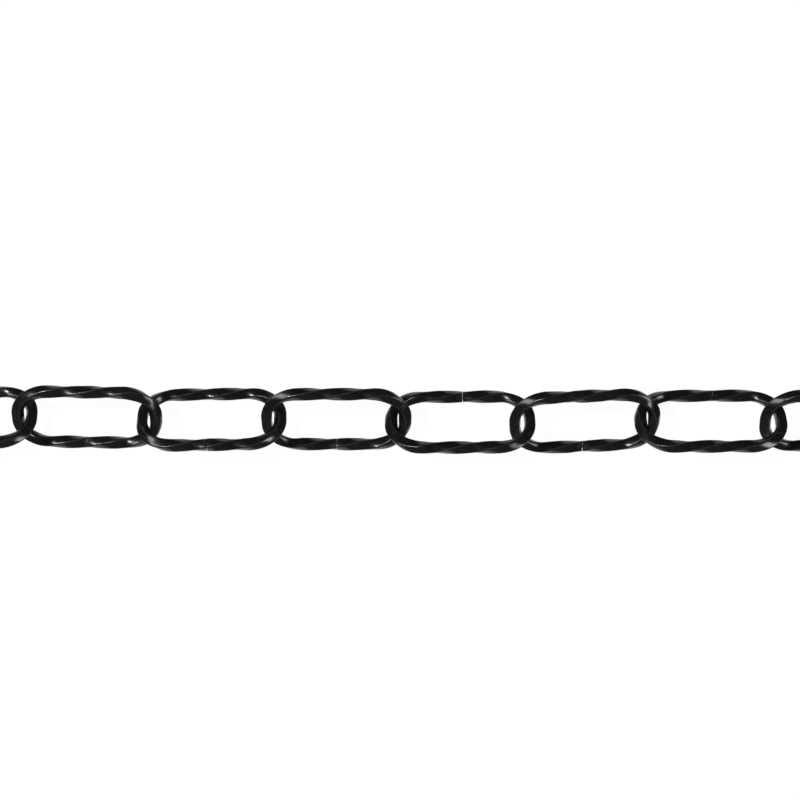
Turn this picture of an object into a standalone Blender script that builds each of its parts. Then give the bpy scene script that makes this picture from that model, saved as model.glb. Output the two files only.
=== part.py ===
"""One metre of black decorative chain: long oblong links bent from twisted square bar.

The chain lies straight along X on the floor, z = 0. The links lean to alternate sides, as a chain
does when it is laid down, so each rests on one leg and holds its other leg up in the air.
Each link is one bar, twisted left-handed and bent round until its two cut ends meet in a butt joint.
The twist is full in the legs and slackens to a quarter of that at the crowns, the ends of a link.
"""

import math

import bpy
from mathutils import Matrix, Vector

# Driving dimensions, in metres and degrees
LINK_COUNT = 20
PITCH = 0.0500
LINK_WIDTH = 0.0333
BAR = 0.0043
BAR_CORNER = 0.0007
BEND_RADIUS = 0.0128
TWIST_LENGTH = 0.0652
CROWN_TWIST = 0.25
BUTT_GAP = 0.0003
LEAN = 46.0

# No two links are alike. For each of eight, in millimetres and degrees: how far it lies from its even
# place, along and across the chain; its turn about the vertical; the twist of its bar in the middle of
# the leg with the butt joint; how far the joint is from that middle; and the link's length.
LAY = [
    (0.1, 1.0, 0.4, 46, 0.0, 59.9),
    (0.2, 0.9, -0.9, 46, -0.8, 59.6),
    (0.0, 0.1, 0.9, 77, -1.3, 59.6),
    (0.0, 0.1, 0.0, 62, 0.0, 59.8),
    (-0.2, -0.9, 0.3, 58, 1.1, 59.8),
    (-0.4, -0.7, 2.3, 54, -0.8, 60.1),
    (0.2, -0.5, 0.2, 57, 1.6, 60.5),
    (-0.1, -0.2, 1.6, 46, 0.0, 59.9),
]
# The links that those eight are, and after them the eight repeat both ways along the chain
FIRST_OF_EIGHT = 7
# The one of the eight whose butt joint is in the leg that is up in the air
HIGH_BUTT = 2

# Bar sections along each stretch of a link
HALF_LEG_STEPS = 6
BEND_STEPS = 6
CROWN_STEPS = 1

BLACK = (0.012, 0.013, 0.012, 1.0)


def clear_scene():
    for obj in list(bpy.data.objects):
        bpy.data.objects.remove(obj, do_unlink=True)


def lacquer():
    """Glossy black lacquer over steel."""
    material = bpy.data.materials.new("black_lacquer")
    material.use_nodes = True
    shader = material.node_tree.nodes["Principled BSDF"]
    shader.inputs["Base Color"].default_value = BLACK
    shader.inputs["Roughness"].default_value = 0.28
    shader.inputs["Metallic"].default_value = 0.0
    return material


def bar_section():
    """The square bar's outline: eight points, with its corners cut."""
    flat = BAR / 2
    edge = flat - BAR_CORNER
    quarter = [Vector((flat, -edge)), Vector((flat, edge))]
    return [Matrix.Rotation(turn * math.pi / 2, 2) @ point for turn in range(4) for point in quarter]


def leg_length(length):
    return length - BAR - 2 * BEND_RADIUS


def twist_of(distance, length):
    """The bar's turn in radians from the middle of the leg with the butt joint to this distance.

    From the start of a bend to the crown the twist slackens evenly, and then it grows again.
    """
    leg = leg_length(length)
    bend = math.pi * BEND_RADIUS + LINK_WIDTH - BAR - 2 * BEND_RADIUS
    slack = 1 - CROWN_TWIST
    wound = distance
    for start in (leg / 2, leg * 3 / 2 + bend):
        towards_crown = min(max(distance - start, 0.0), bend / 2)
        past_crown = min(max(distance - start - bend / 2, 0.0), bend / 2)
        wound -= slack * (towards_crown ** 2 / bend + past_crown - past_crown ** 2 / bend)
    return -math.tau * wound / TWIST_LENGTH


def centre_line(length, joint):
    """Stations along the bar of a link, clockwise from the butt joint in its +Y leg.

    Each is the bar's centre, its heading, and its distance along the bar from the middle of that leg.
    The joint is this far from the middle, and the link lies in XY.
    """
    half_width = (LINK_WIDTH - BAR) / 2
    leg = leg_length(length)
    crown = 2 * (half_width - BEND_RADIUS)
    stretches = [
        ((leg - BUTT_GAP) / 2 - joint, 0, HALF_LEG_STEPS),
        (BEND_RADIUS, 90, BEND_STEPS),
        (crown, 0, CROWN_STEPS),
        (BEND_RADIUS, 90, BEND_STEPS),
        (leg, 0, 2 * HALF_LEG_STEPS),
        (BEND_RADIUS, 90, BEND_STEPS),
        (crown, 0, CROWN_STEPS),
        (BEND_RADIUS, 90, BEND_STEPS),
        ((leg - BUTT_GAP) / 2 + joint, 0, HALF_LEG_STEPS),
    ]
    distance = joint + BUTT_GAP / 2
    place = Vector((distance, half_width, 0.0))
    heading = 0.0
    stations = [(place.copy(), heading, distance)]
    for size, bend, steps in stretches:
        step_bend = math.radians(bend) / steps
        step_length = size * step_bend if bend else size / steps
        chord = 2 * size * math.sin(step_bend / 2) if bend else step_length
        for _ in range(steps):
            middle = heading - step_bend / 2
            place += chord * Vector((math.cos(middle), math.sin(middle), 0.0))
            heading -= step_bend
            distance += step_length
            stations.append((place.copy(), heading, distance))
    return stations


def link_points(length, twist, joint, butt_side):
    """Rings of points round the bar. butt_side 1 or -1 is the leg, +Y or -Y, with the butt joint."""
    outline = bar_section()
    rings = []
    for place, heading, distance in centre_line(length, butt_side * joint):
        across = Vector((-math.sin(heading), math.cos(heading), 0.0))
        turned = Matrix.Rotation(math.radians(twist) + twist_of(distance, length), 2)
        ring = []
        for point in outline:
            side, up = turned @ point
            spot = place + side * across + Vector((0.0, 0.0, up))
            ring.append(Vector((butt_side * spot.x, butt_side * spot.y, spot.z)))
        rings.append(ring)
    return rings


def link_place(number):
    """The link's rings of points, its turn, its centre and its length, lying on the floor."""
    row = (number - FIRST_OF_EIGHT) % len(LAY)
    along, across, yaw, twist, joint, length = LAY[row]
    lean = LEAN if number % 2 == 0 else -LEAN
    turn = Matrix.Rotation(math.radians(yaw), 4, "Z") @ Matrix.Rotation(math.radians(lean), 4, "X")
    low_leg = -1 if lean > 0 else 1
    butt_side = -low_leg if row == HIGH_BUTT else low_leg
    rings = link_points(length / 1000, twist, joint / 1000, butt_side)
    lowest = min((turn @ point).z for ring in rings for point in ring)
    even_place = (number - (LINK_COUNT + 1) / 2) * PITCH
    return rings, turn, Vector((even_place + along / 1000, across / 1000, -lowest)), length / 1000


def places_about_the_origin():
    """Every link's place, with the middle of the whole chain's box over the origin."""
    places = [link_place(number) for number in range(1, LINK_COUNT + 1)]
    spots = [centre + turn @ point for rings, turn, centre, _ in places for ring in rings for point in ring]
    xs = [spot.x for spot in spots]
    ys = [spot.y for spot in spots]
    shift = Vector(((min(xs) + max(xs)) / 2, (min(ys) + max(ys)) / 2, 0.0))
    return [(rings, turn, centre - shift, length) for rings, turn, centre, length in places]


def end_loop(turn, centre, length):
    """The middle of the bar at a link's +X end, where the next link hangs and swings."""
    return centre + turn @ Vector(((length - BAR) / 2, 0.0, 0.0))


def swing_axis(number, turn):
    """The line that the next link swings about: along the bar at this link's +X end.

    The signs make a chain that has every link swung the same way wind along and clear itself.
    """
    sign = 1 if number % 4 in (1, 2) else -1
    return sign * (turn @ Vector((0.0, 1.0, 0.0)))


def ring_mesh(name, rings, offset):
    """A closed tube through the rings, with a flat cut at each end."""
    size = len(rings[0])
    points = [point - offset for ring in rings for point in ring]
    faces = []
    for row in range(len(rings) - 1):
        for column in range(size):
            after = (column + 1) % size
            low, high = row * size, (row + 1) * size
            faces.append((low + column, low + after, high + after, high + column))
    faces.append(tuple(reversed(range(size))))
    last = (len(rings) - 1) * size
    faces.append(tuple(last + column for column in range(size)))
    mesh = bpy.data.meshes.new(name)
    mesh.from_pydata(points, [], faces)
    mesh.validate()
    mesh.shade_smooth()
    mesh.set_sharp_from_angle(angle=math.radians(30))
    return mesh


def add_swing(number, place, axis):
    """An empty in this link's +X end, with its Z axis on the line that the next link swings about."""
    swing = bpy.data.objects.new(f"swing_{number + 1:02d}", None)
    swing.empty_display_size = BAR
    bpy.context.collection.objects.link(swing)
    swing.matrix_world = Matrix.Translation(place) @ axis.to_track_quat("Z", "Y").to_matrix().to_4x4()
    return swing


def hang(child, parent):
    """Parents an object where it is."""
    place = child.matrix_world.copy()
    child.parent = parent
    child.matrix_parent_inverse = parent.matrix_world.inverted()
    child.matrix_world = place


def build():
    clear_scene()
    material = lacquer()
    swing = None
    for number, (rings, turn, centre, length) in enumerate(places_about_the_origin(), start=1):
        origin = swing.matrix_world.translation.copy() if swing else centre
        name = f"link_{number:02d}"
        mesh = ring_mesh(name, rings, turn.inverted() @ (origin - centre))
        mesh.materials.append(material)
        link = bpy.data.objects.new(name, mesh)
        bpy.context.collection.objects.link(link)
        link.matrix_world = Matrix.Translation(origin) @ turn
        if swing:
            hang(link, swing)
        if number < LINK_COUNT:
            swing = add_swing(number, end_loop(turn, centre, length), swing_axis(number, turn))
            hang(swing, link)


build()
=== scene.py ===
"""The looks of one metre of black twisted chain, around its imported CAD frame.

Every link is modelled again, finely, where its CAD node lies: a square bar with rounded ridges,
twisted left-handed, bent round and butted, under a coat of glossy black lacquer.
"""

import math

import bmesh
import bpy
import numpy as np
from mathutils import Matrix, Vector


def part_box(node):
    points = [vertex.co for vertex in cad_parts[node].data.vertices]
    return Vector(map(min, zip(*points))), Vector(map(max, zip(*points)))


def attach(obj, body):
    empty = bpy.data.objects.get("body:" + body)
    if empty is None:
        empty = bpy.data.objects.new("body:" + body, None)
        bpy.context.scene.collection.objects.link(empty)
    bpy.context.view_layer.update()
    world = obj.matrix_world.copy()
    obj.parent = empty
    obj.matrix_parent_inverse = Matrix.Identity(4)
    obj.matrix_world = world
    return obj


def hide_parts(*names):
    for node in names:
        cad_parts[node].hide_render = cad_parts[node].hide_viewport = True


# The links' sizes, as in the CAD: metres and degrees
LINK_WIDTH = 0.0333
BAR = 0.0043
BEND_RADIUS = 0.0128
TWIST_LENGTH = 0.0652
CROWN_TWIST = 0.25
BUTT_GAP = 0.0003
LEAN = 46.0

# How eight links differ, as in the CAD: turn about the vertical in degrees, twist in the middle of the
# leg with the butt joint in degrees, the joint's distance from there and the length in millimetres.
# After them, in millimetres: the joint's gap in its middle, and how much wider it is at the outside
LAY = [
    (0.4, 46, 0.0, 59.9, 0.10, 0.00),
    (-0.9, 46, -0.8, 59.6, 0.04, 0.02),
    (0.9, 77, -1.3, 59.6, 0.18, 0.18),
    (0.0, 62, 0.0, 59.8, 0.09, 0.03),
    (0.3, 58, 1.1, 59.8, 0.24, -0.03),
    (2.3, 54, -0.8, 60.1, 0.26, 0.20),
    (0.2, 57, 1.6, 60.5, 0.10, -0.05),
    (1.6, 46, 0.0, 59.9, 0.12, 0.05),
]
# The links that those eight are, and after them the eight repeat both ways along the chain
FIRST_OF_EIGHT = 7
# The one of the eight whose butt joint is in the leg that is up in the air
HIGH_BUTT = 2

# The fine bar: its ridges and shallow faces, and the distance between two sections along it
RIDGE_RADIUS = 0.0008
FACE_RADIUS = 0.009
RIDGE_STEPS = 6
FACE_STEPS = 8
STATION = 0.0007
SHARP_ANGLE = 50
# In a bend its inside is thicker by this share, which comes on and goes over this many sections
KEYSTONE = 0.07
EASE_SECTIONS = 9

# Its cut ends: the extra sections' distances from a cut, the cut's rounded edge and how far that
# draws in, how ragged the cut is, how much its burrs stand proud, and how far back they reach
CUT_STATIONS = (0.00005, 0.00012, 0.00022, 0.0004)
CUT_EDGE = 0.00012
CUT_ROUND = 0.05
RAGGED = 0.00005
BURR = 0.03
BURR_REACH = 0.0003
BURR_LOBES = 3
RAGGED_LOBES = 4
# How far grey scale reaches along the bar from a cut
SCALE_REACH = 0.003

# Its unevenness: how deep the dents are, and the number, shortest and longest of the waves that add up
DENT = 0.00003
DENT_WAVES = (7, 0.006, 0.02)
CUT_WAVES = (5, 0.002, 0.01)

# The camera: 800 pixels show this much of the floor from this height
VIEW_WIDTH = 0.3244
VIEW_HEIGHT = 1.162
VIEW_CENTRE = (0.0006, 0.0079)
VIEW_REACH = 100
SENSOR = 36.0

# The white floor and the screen round it
FLOOR_REACH = 20.0
SCREEN_RADIUS = 40.0
WHITE_BASE = (0.08, 0.08, 0.08, 1)
WHITE_ROUGHNESS = 0.9
WHITE_GLOW = 0.95

# The lights: place, breadth along and up the arc over the chain, and watts
LIGHTS = {
    "left_softbox": ((-1.12, 0.16, 0.88), (0.6, 0.6), 7.5),
    "right_softbox": ((1.22, -0.40, 0.72), (0.6, 0.65), 10),
    "lamp": ((-0.62, 0.24, 1.35), (0.09, 0.44), 10),
}

# The room as the lacquer mirrors it, by direction
TABLE_SLOPE = 1.1
TABLE_EDGE = (0.06, 0.27)
TABLE_GLOW = 0.7
ROOM = 0.022
WALL = 0.12
WALL_EDGE = (0.3, 0.9)

# The lacquer's colours, and its least and greatest roughness
GREEN_BLACK = (0.0066, 0.0084, 0.0079, 1)
BROWN_BLACK = (0.0125, 0.0112, 0.0082, 1)
BUTT_SCALE = (0.05, 0.05, 0.048, 1)
WORN_EDGE = (0.12, 0.12, 0.115, 1)
ROUGH = (0.14, 0.28)

# Its patches: a noise's scale, detail and roughness, and the values between which a patch sets in
BROWN_NOISE = (90, 3, 0.5)
BROWN_SPAN = (0.50, 0.72)
SCALE_NOISE = (1400, 3, 0.6)
SCALE_SPAN = (0.50, 0.60)
BUTT_SPAN = (0.35, 0.9)
WEAR_NOISE = (320, 4, 0.6)
WEAR_SPAN = (0.35, 0.60)
LEAST_WEAR = 0.25
RIDGE_SPAN = (0.75, 0.97)
DULL_NOISE = (260, 4, 0.6)
DULL_SPAN = (0.3, 0.7)
PEEL_NOISE = (700, 3, 0.5)
PEEL_STRENGTH = 0.10
PEEL_DEPTH = 0.0002


def section():
    """The bar's outline as points, and how much each is on a ridge: 1 on its top, 0 on a face.

    Each face is a shallow arc, and a tight arc joins it to the next face.
    """
    flat = BAR / 2
    drop = FACE_RADIUS - flat
    spread = drop ** 2 - (FACE_RADIUS - RIDGE_RADIUS) ** 2
    centre = (math.sqrt(drop ** 2 - 2 * spread) - drop) / 2
    meet = math.atan2(centre, centre + drop)
    points = []
    ridge = []
    for quarter in range(4):
        turn = quarter * math.pi / 2
        corner = turn + math.pi / 4
        reach = math.sqrt(2) * centre
        for step in range(RIDGE_STEPS + 1):
            angle = turn + meet + (math.pi / 2 - 2 * meet) * step / RIDGE_STEPS
            points.append(on_arc(reach, corner, RIDGE_RADIUS, angle))
            ridge.append(math.cos(math.pi * (step / RIDGE_STEPS - 0.5)))
        middle = turn + math.pi / 2
        for step in range(1, FACE_STEPS):
            angle = middle + meet * (2 * step / FACE_STEPS - 1)
            points.append(on_arc(-drop, middle, FACE_RADIUS, angle))
            ridge.append(0.0)
    return np.array(points), np.array(ridge)


def on_arc(reach, towards, radius, angle):
    """A point at this angle on an arc whose centre lies this far off in the direction towards."""
    x = reach * math.cos(towards) + radius * math.cos(angle)
    y = reach * math.sin(towards) + radius * math.sin(angle)
    return x, y


def centre_line(length, joint):
    """Places, headings, bends and distances along a link's bar, clockwise from the butt joint.

    The joint is in the +Y leg, and the distances are from the middle of that leg.
    """
    half_width = (LINK_WIDTH - BAR) / 2
    leg = length - BAR - 2 * BEND_RADIUS
    crown = 2 * (half_width - BEND_RADIUS)
    quarter = BEND_RADIUS * math.pi / 2
    first_leg = (leg - BUTT_GAP) / 2 - joint
    last_leg = (leg - BUTT_GAP) / 2 + joint
    lengths = [first_leg, quarter, crown, quarter, leg, quarter, crown, quarter, last_leg]
    bent = [0, 1, 0, 1, 0, 1, 0, 1, 0]
    ends = np.cumsum([0.0] + lengths)
    near_cut = np.array(CUT_STATIONS)
    used = np.linspace(0.0, ends[-1], round(ends[-1] / STATION) + 1)
    used = np.sort(np.concatenate([used, near_cut, ends[-1] - near_cut]))
    heading = np.zeros_like(used)
    bend = np.zeros_like(used)
    for start, size, is_bent in zip(ends, lengths, bent):
        if is_bent:
            heading -= np.clip((used - start) / BEND_RADIUS, 0.0, math.pi / 2)
            bend += (used >= start) & (used <= start + size)
    step = np.diff(used)
    middle = (heading[1:] + heading[:-1]) / 2
    along = joint + BUTT_GAP / 2 + np.concatenate([[0.0], np.cumsum(step * np.cos(middle))])
    across = half_width + np.concatenate([[0.0], np.cumsum(step * np.sin(middle))])
    padded = np.pad(bend, EASE_SECTIONS // 2, mode="edge")
    smooth = np.convolve(padded, np.full(EASE_SECTIONS, 1 / EASE_SECTIONS), mode="valid")
    return np.stack([along, across], 1), heading, smooth, used + joint + BUTT_GAP / 2


def twist_of(distance, length):
    """The bar's turn in radians from the middle of the leg with the butt joint, as in the CAD."""
    leg = length - BAR - 2 * BEND_RADIUS
    bend = math.pi * BEND_RADIUS + LINK_WIDTH - BAR - 2 * BEND_RADIUS
    slack = 1 - CROWN_TWIST
    wound = distance.copy()
    for start in (leg / 2, leg * 3 / 2 + bend):
        towards_crown = np.clip(distance - start, 0.0, bend / 2)
        past_crown = np.clip(distance - start - bend / 2, 0.0, bend / 2)
        wound -= slack * (towards_crown ** 2 / bend + past_crown - past_crown ** 2 / bend)
    return -math.tau * wound / TWIST_LENGTH


def waves(rng, distance, angle, count, shortest, longest):
    """Gentle unevenness along and round the bar, about -1 to 1."""
    total = np.zeros((len(distance), len(angle)))
    for _ in range(count):
        length = rng.uniform(shortest, longest)
        turns = rng.integers(0, 4)
        phase = rng.uniform(0, math.tau)
        total += np.sin(math.tau * distance[:, None] / length + turns * angle[None, :] + phase)
    return total / math.sqrt(count)


def bar_sections(rng, outline, twist, bend, distance, to_cut):
    """How far the points of each section lie to the side of the bar's middle, and how far above it."""
    rounding = np.clip(1 - to_cut / CUT_EDGE, 0, 1)
    shrink = 1 - CUT_ROUND * (1 - np.sqrt(1 - rounding ** 2))
    side = outline[None, :, 0] * np.cos(twist)[:, None] - outline[None, :, 1] * np.sin(twist)[:, None]
    up = outline[None, :, 0] * np.sin(twist)[:, None] + outline[None, :, 1] * np.cos(twist)[:, None]
    side = side * shrink[:, None]
    up = up * shrink[:, None]
    up = up * (1 - KEYSTONE * bend[:, None] * side / (BAR / 2))

    angle = np.arctan2(outline[:, 1], outline[:, 0])
    swell = 1 + DENT * waves(rng, distance, angle, *DENT_WAVES) / (BAR / 2)
    burr = waves(rng, distance, angle * BURR_LOBES, *CUT_WAVES) * np.exp(-to_cut / BURR_REACH)[:, None]
    return side * (swell + BURR * burr), up * (swell + BURR * burr)


def tube_faces(count, size):
    """The faces of a tube through this many sections of this many points, with its two cut ends."""
    row = np.arange(count - 1)[:, None] * size
    column = np.arange(size)[None, :]
    after = (column + 1) % size
    faces = np.stack([row + column, row + after, row + size + after, row + size + column], -1)
    faces = [tuple(face) for face in faces.reshape(-1, 4).tolist()]
    faces.append(tuple(reversed(range(size))))
    faces.append(tuple((count - 1) * size + np.arange(size)))
    return faces


def fine_link(number, length, twist, joint, butt_side, gap, gape):
    """Vertices, faces and the ridge and butt values of one link, flat in XY about its middle."""
    outline, ridge = section()
    places, heading, bend, distance = centre_line(length, butt_side * joint)
    twist = math.radians(twist) + twist_of(distance, length)
    rng = np.random.default_rng(number)
    to_cut = np.minimum(distance - distance[0], distance[-1] - distance)
    side, up = bar_sections(rng, outline, twist, bend, distance, to_cut)

    # The cut ends are drawn out along the bar, until the gap between them is this link's own
    angle = np.arctan2(outline[:, 1], outline[:, 0])
    reach = (BUTT_GAP - gap - gape * side / (BAR / 2)) / 2
    reach += RAGGED * waves(rng, distance * 0, angle * RAGGED_LOBES, *CUT_WAVES)
    pull = np.where(distance < distance.mean(), -1.0, 1.0) * np.exp(-to_cut / BURR_REACH)
    x = places[:, :1] - np.sin(heading)[:, None] * side + pull[:, None] * reach
    y = places[:, 1:] + np.cos(heading)[:, None] * side
    vertices = np.stack([butt_side * x, butt_side * y, up], -1)
    on_ridge = np.broadcast_to(ridge[None, :], side.shape)
    at_butt = np.broadcast_to(np.exp(-to_cut / SCALE_REACH)[:, None], side.shape)
    return vertices.reshape(-1, 3), tube_faces(*side.shape), on_ridge.reshape(-1), at_butt.reshape(-1)


def link_turn(yaw, lean):
    """A link's turn on the floor: its lean about X, and after it its yaw about Z."""
    yaw = math.radians(yaw)
    lean = math.radians(lean)
    about_x = [
        [1, 0, 0],
        [0, math.cos(lean), -math.sin(lean)],
        [0, math.sin(lean), math.cos(lean)],
    ]
    about_z = [
        [math.cos(yaw), -math.sin(yaw), 0],
        [math.sin(yaw), math.cos(yaw), 0],
        [0, 0, 1],
    ]
    return np.array(about_z) @ np.array(about_x)


def add_link(number, material):
    """The fine link, lying where its CAD node lies."""
    node = f"link_{number:02d}"
    row = (number - FIRST_OF_EIGHT) % len(LAY)
    yaw, twist, joint, length, gap, gape = LAY[row]
    lean = LEAN if number % 2 == 0 else -LEAN
    low_leg = -1 if lean > 0 else 1
    butt_side = -low_leg if row == HIGH_BUTT else low_leg
    vertices, faces, ridge, butt = fine_link(
        number, length / 1000, twist, joint / 1000, butt_side, gap / 1000, gape / 1000)
    vertices = vertices @ link_turn(yaw, lean).T
    low, high = (np.array(corner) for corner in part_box(node))
    vertices += (low + high) / 2 - (vertices.min(0) + vertices.max(0)) / 2
    mesh = bpy.data.meshes.new(f"{node}_bar")
    mesh.from_pydata(vertices.tolist(), [], faces)
    for name, values in (("ridge", ridge), ("butt", butt)):
        layer = mesh.attributes.new(name, "FLOAT", "POINT")
        layer.data.foreach_set("value", values.astype(np.float32))
    mesh.shade_smooth()
    mesh.set_sharp_from_angle(angle=math.radians(SHARP_ANGLE))
    mesh.materials.append(material)
    piece = bpy.data.objects.new(f"{node}_bar", mesh)
    bpy.context.collection.objects.link(piece)
    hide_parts(node)
    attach(piece, node)


def lacquer():
    """Glossy black lacquer: orange peel, duller and browner patches, scale at the cuts, worn ridges."""
    material = bpy.data.materials.new("black_lacquer_finish")
    material.use_nodes = True
    nodes = material.node_tree.nodes
    links = material.node_tree.links
    shader = nodes["Principled BSDF"]
    place = nodes.new("ShaderNodeTexCoord").outputs["Object"]

    def noise(scale, detail, rough):
        node = nodes.new("ShaderNodeTexNoise")
        node.inputs["Scale"].default_value = scale
        node.inputs["Detail"].default_value = detail
        node.inputs["Roughness"].default_value = rough
        links.new(place, node.inputs["Vector"])
        return node.outputs["Fac"]

    def span(value, source, target=(0, 1)):
        node = nodes.new("ShaderNodeMapRange")
        node.inputs["From Min"].default_value = source[0]
        node.inputs["From Max"].default_value = source[1]
        node.inputs["To Min"].default_value = target[0]
        node.inputs["To Max"].default_value = target[1]
        links.new(value, node.inputs["Value"])
        return node.outputs["Result"]

    def mix(factor, first, second):
        node = nodes.new("ShaderNodeMix")
        node.data_type = "RGBA"
        links.new(factor, node.inputs["Factor"])
        for socket, colour in (("A", first), ("B", second)):
            slot = next(s for s in node.inputs if s.name == socket and s.type == "RGBA")
            if isinstance(colour, tuple):
                slot.default_value = colour
            else:
                links.new(colour, slot)
        return next(s for s in node.outputs if s.type == "RGBA")

    def painted(name):
        node = nodes.new("ShaderNodeAttribute")
        node.attribute_name = name
        return node.outputs["Fac"]

    def product(first, second):
        node = nodes.new("ShaderNodeMath")
        node.operation = "MULTIPLY"
        links.new(first, node.inputs[0])
        links.new(second, node.inputs[1])
        return node.outputs["Value"]

    tint = mix(span(noise(*BROWN_NOISE), BROWN_SPAN), GREEN_BLACK, BROWN_BLACK)
    scaly = product(span(painted("butt"), BUTT_SPAN), span(noise(*SCALE_NOISE), SCALE_SPAN))
    tint = mix(scaly, tint, BUTT_SCALE)
    patchy = span(noise(*WEAR_NOISE), WEAR_SPAN, (LEAST_WEAR, 1))
    worn = product(span(painted("ridge"), RIDGE_SPAN), patchy)
    links.new(mix(worn, tint, WORN_EDGE), shader.inputs["Base Color"])
    links.new(worn, shader.inputs["Metallic"])
    links.new(span(noise(*DULL_NOISE), DULL_SPAN, ROUGH), shader.inputs["Roughness"])
    peel = nodes.new("ShaderNodeBump")
    peel.inputs["Strength"].default_value = PEEL_STRENGTH
    peel.inputs["Distance"].default_value = PEEL_DEPTH
    links.new(noise(*PEEL_NOISE), peel.inputs["Height"])
    links.new(peel.outputs["Normal"], shader.inputs["Normal"])
    return material


def plain_white():
    """A white that glows, so that it shows as plain white under soft light."""
    material = bpy.data.materials.new("plain_white")
    material.use_nodes = True
    shader = material.node_tree.nodes["Principled BSDF"]
    shader.inputs["Base Color"].default_value = WHITE_BASE
    shader.inputs["Roughness"].default_value = WHITE_ROUGHNESS
    shader.inputs["Emission Color"].default_value = (1, 1, 1, 1)
    shader.inputs["Emission Strength"].default_value = WHITE_GLOW
    return material


def add_stage(name, mesh, material):
    """The floor or the screen. The lacquer doesn't mirror it: it mirrors the room."""
    mesh.materials.append(material)
    thing = bpy.data.objects.new(name, mesh)
    bpy.context.collection.objects.link(thing)
    thing.visible_glossy = False
    return thing


def add_floor(material):
    """A plain white table."""
    corners = [
        (-FLOOR_REACH, -FLOOR_REACH, 0),
        (FLOOR_REACH, -FLOOR_REACH, 0),
        (FLOOR_REACH, FLOOR_REACH, 0),
        (-FLOOR_REACH, FLOOR_REACH, 0),
    ]
    mesh = bpy.data.meshes.new("floor")
    mesh.from_pydata(corners, [], [(0, 1, 2, 3)])
    add_stage("floor", mesh, material)


def add_screen(material):
    """A white dome far round the table, past its edges. It sheds no light and takes none away."""
    dome = bmesh.new()
    bmesh.ops.create_icosphere(dome, subdivisions=3, radius=SCREEN_RADIUS)
    mesh = bpy.data.meshes.new("screen")
    dome.to_mesh(mesh)
    dome.free()
    screen = add_stage("screen", mesh, material)
    screen.visible_diffuse = False
    screen.visible_shadow = False


def add_light(name, place, size, power):
    """A soft oblong light that faces the middle of the chain."""
    data = bpy.data.lights.new(name, "AREA")
    data.shape = "RECTANGLE"
    data.size = size[0]
    data.size_y = size[1]
    data.energy = power
    light = bpy.data.objects.new(name, data)
    bpy.context.collection.objects.link(light)
    light.location = place
    light.visible_camera = False
    light.rotation_euler = light.location.to_track_quat("Z", "Y").to_euler()


def add_world():
    """A dark room over a white table. The table shows in reflections on both sides of the chain."""
    world = bpy.data.worlds.new("room")
    bpy.context.scene.world = world
    world.use_nodes = True
    nodes = world.node_tree.nodes
    links = world.node_tree.links
    split = nodes.new("ShaderNodeSeparateXYZ")
    links.new(nodes.new("ShaderNodeTexCoord").outputs["Generated"], split.inputs["Vector"])

    def reckon(operation, first, second):
        node = nodes.new("ShaderNodeMath")
        node.operation = operation
        for socket, value in zip(node.inputs, (first, second)):
            if isinstance(value, float):
                socket.default_value = value
            else:
                links.new(value, socket)
        return node.outputs["Value"]

    def fade(value, edge, low, high):
        node = nodes.new("ShaderNodeMapRange")
        node.interpolation_type = "SMOOTHSTEP"
        node.inputs["From Min"].default_value = edge[0]
        node.inputs["From Max"].default_value = edge[1]
        node.inputs["To Min"].default_value = low
        node.inputs["To Max"].default_value = high
        links.new(value, node.inputs["Value"])
        return node.outputs["Result"]

    along = reckon("ABSOLUTE", split.outputs["X"], 0.0)
    down = reckon("MULTIPLY", split.outputs["Z"], -1.0)
    below = reckon("SUBTRACT", down, reckon("MULTIPLY", along, TABLE_SLOPE))
    table = fade(below, TABLE_EDGE, 0.0, TABLE_GLOW)
    wall = fade(reckon("MULTIPLY", split.outputs["Y"], -1.0), WALL_EDGE, ROOM, WALL)
    links.new(reckon("ADD", table, wall), nodes["Background"].inputs["Color"])


def add_camera():
    """The camera looks straight down on the middle of the chain."""
    data = bpy.data.cameras.new("camera")
    data.sensor_width = SENSOR
    data.lens = SENSOR * VIEW_HEIGHT / VIEW_WIDTH
    data.clip_end = VIEW_REACH
    camera = bpy.data.objects.new("camera", data)
    bpy.context.collection.objects.link(camera)
    camera.location = (VIEW_CENTRE[0], VIEW_CENTRE[1], VIEW_HEIGHT)
    bpy.context.scene.camera = camera


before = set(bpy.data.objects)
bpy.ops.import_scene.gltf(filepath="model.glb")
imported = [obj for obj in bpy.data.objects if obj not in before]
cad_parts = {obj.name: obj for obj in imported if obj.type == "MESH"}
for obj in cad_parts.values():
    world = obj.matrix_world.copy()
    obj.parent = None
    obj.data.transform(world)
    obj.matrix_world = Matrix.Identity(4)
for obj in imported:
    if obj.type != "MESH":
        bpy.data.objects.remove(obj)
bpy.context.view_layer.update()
add_camera()
finish = lacquer()
for link_number in range(1, len(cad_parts) + 1):
    add_link(link_number, finish)
white = plain_white()
add_floor(white)
add_screen(white)
add_world()
for light_name, (spot, breadth, watts) in LIGHTS.items():
    add_light(light_name, spot, breadth, watts)
bpy.context.scene.view_settings.view_transform = "Standard"
